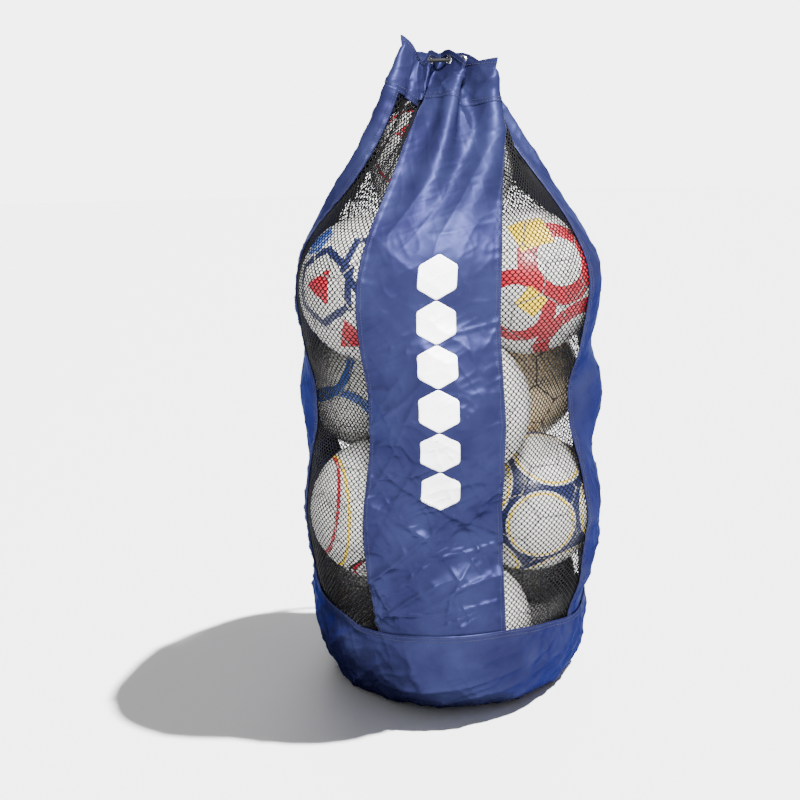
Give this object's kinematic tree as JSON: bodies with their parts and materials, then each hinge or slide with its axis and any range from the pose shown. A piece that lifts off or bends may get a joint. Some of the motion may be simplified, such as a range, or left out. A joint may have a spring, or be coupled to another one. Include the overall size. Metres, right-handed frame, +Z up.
{
  "type": "mesh ball bag",
  "caption": "Tall drawstring sack of nylon and net panels on a round base, holding sports balls, its collar gathered on a cord through eyelets.",
  "frame": {"origin": "centre of the round base, on the surface the bag stands on", "axes": "+Z up along the bag's axis, -Y towards the front panel, +X to the right seen from the front"},
  "size_m": [0.4817, 0.498, 1.005],
  "materials": {
    "nylon": "royal blue coated nylon, plain weave, slight sheen",
    "net": "black knitted polyester net with small six-sided holes",
    "nickel": "nickel plate, polished",
    "cord": "braided polyester cord",
    "lock_plastic": "moulded, satin",
    "spring_steel": "drawn wire",
    "ball_skin": "white coated synthetic leather with printed panels, slightly scuffed",
    "ball_tan": "worn tan leather"
  },
  "bodies": {
    "bag": {"base_disc": "nylon", "base_band": "nylon", "solid_panel_front": "nylon", "solid_panel_right": "nylon", "solid_panel_back": "nylon", "solid_panel_left": "nylon", "mesh_panel_front_right": "net", "mesh_panel_back_right": "net", "mesh_panel_back_left": "net", "mesh_panel_front_left": "net", "collar": "nylon", "eyelet_1": "nickel", "eyelet_2": "nickel", "eyelet_3": "nickel", "eyelet_4": "nickel", "eyelet_5": "nickel", "eyelet_6": "nickel", "eyelet_7": "nickel", "eyelet_8": "nickel", "eyelet_washer_1": "nickel", "eyelet_washer_2": "nickel", "eyelet_washer_3": "nickel", "eyelet_washer_4": "nickel", "eyelet_washer_5": "nickel", "eyelet_washer_6": "nickel", "eyelet_washer_7": "nickel", "eyelet_washer_8": "nickel", "drawcord_loop": "cord", "drawcord_end_left": "cord", "drawcord_end_right": "cord", "cord_knot": "cord", "ball_1": "ball_skin", "ball_2": "ball_skin", "ball_3": "ball_skin", "ball_4": "ball_skin", "ball_5": "ball_skin", "ball_6": "ball_skin", "ball_7": "ball_skin", "ball_8": "ball_tan", "ball_9": "ball_skin", "ball_10": "ball_skin", "ball_11": "ball_skin", "ball_12": "ball_skin", "ball_13": "ball_skin"},
    "cord_lock": {"cord_lock_body": "lock_plastic", "cord_lock_spring": "spring_steel"},
    "lock_button": {"cord_lock_plunger": "lock_plastic"}
  },
  "joints": [
    {"name": "cord_lock_slide", "type": "slide", "parent": "bag", "child": "cord_lock", "axis": [-0.075, 0.6111, -0.788], "range_m": [0, 0.08]},
    {"name": "lock_button_press", "type": "slide", "parent": "cord_lock", "child": "lock_button", "axis": [0.096, -0.7821, -0.6157], "range_m": [0, 0.004], "stiffness_N_per_m": 900, "springref_m": -0.002, "deforming": ["cord_lock_spring"]}
  ]
}
